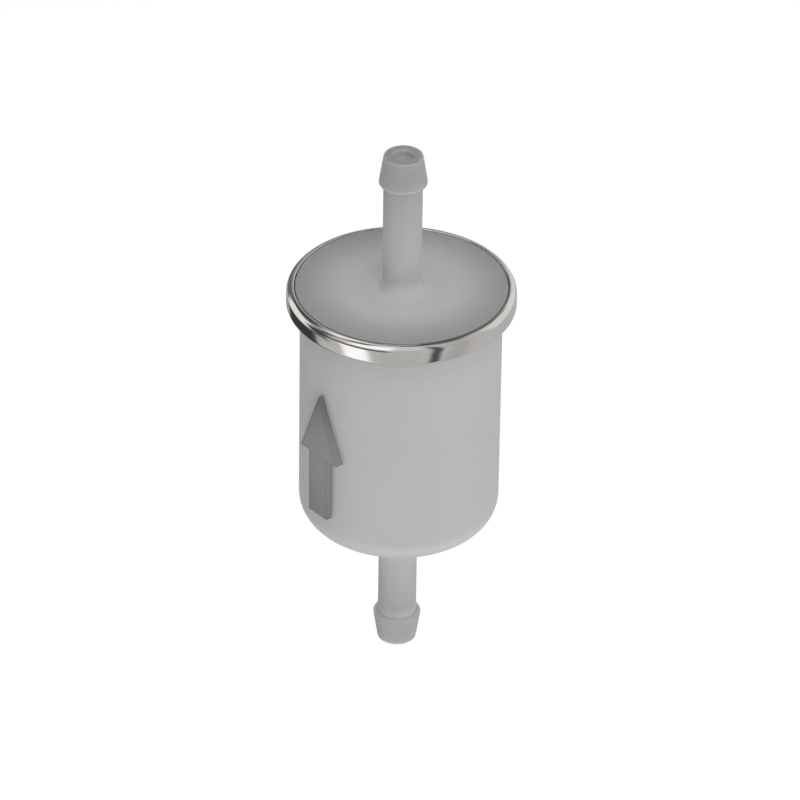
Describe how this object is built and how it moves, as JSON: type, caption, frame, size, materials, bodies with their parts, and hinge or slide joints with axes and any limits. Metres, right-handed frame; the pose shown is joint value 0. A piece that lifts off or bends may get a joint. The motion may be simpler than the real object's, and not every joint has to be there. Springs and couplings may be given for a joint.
{
  "type": "in-line fuel filter",
  "caption": "In-line fuel filter with a milky moulded cup and cover, a hose nipple at each end, a rolled metal joint ring and a raised flow arrow.",
  "frame": {"origin": "centre of the inlet nipple's tip, on the filter's axis", "axes": "+Z along the axis in the direction of flow, from the inlet nipple to the outlet nipple; the raised arrow faces -Y"},
  "size_m": [0.041, 0.041, 0.1034],
  "materials": {
    "housing_plastic": "natural milky nylon, fine satin moulding",
    "ring_metal": "bright plated steel band with rolled edges",
    "arrow_plastic": "grey satin moulding",
    "seal_rubber": "black nitrile rubber",
    "filter_paper": "resin-cured filter paper",
    "clip_metal": "folded steel strip",
    "band_plastic": "white hot-melt band",
    "cap_plastic": "off-white moulding",
    "plastisol": "set orange plastisol",
    "spring_steel": "plated spring steel"
  },
  "bodies": {
    "root": {"lower_housing": "housing_plastic", "upper_cover": "housing_plastic", "crimp_ring": "ring_metal", "flow_arrow": "arrow_plastic", "flange_gasket": "seal_rubber", "filter_media": "filter_paper", "seam_clip": "clip_metal", "pleat_bands": "band_plastic", "core_tube": "cap_plastic", "upper_end_cap": "cap_plastic", "lower_end_cap": "cap_plastic", "upper_bond": "plastisol", "lower_bond": "plastisol", "outlet_seal": "seal_rubber", "element_spring": "spring_steel", "spring_seat": "spring_steel"}
  },
  "joints": []
}
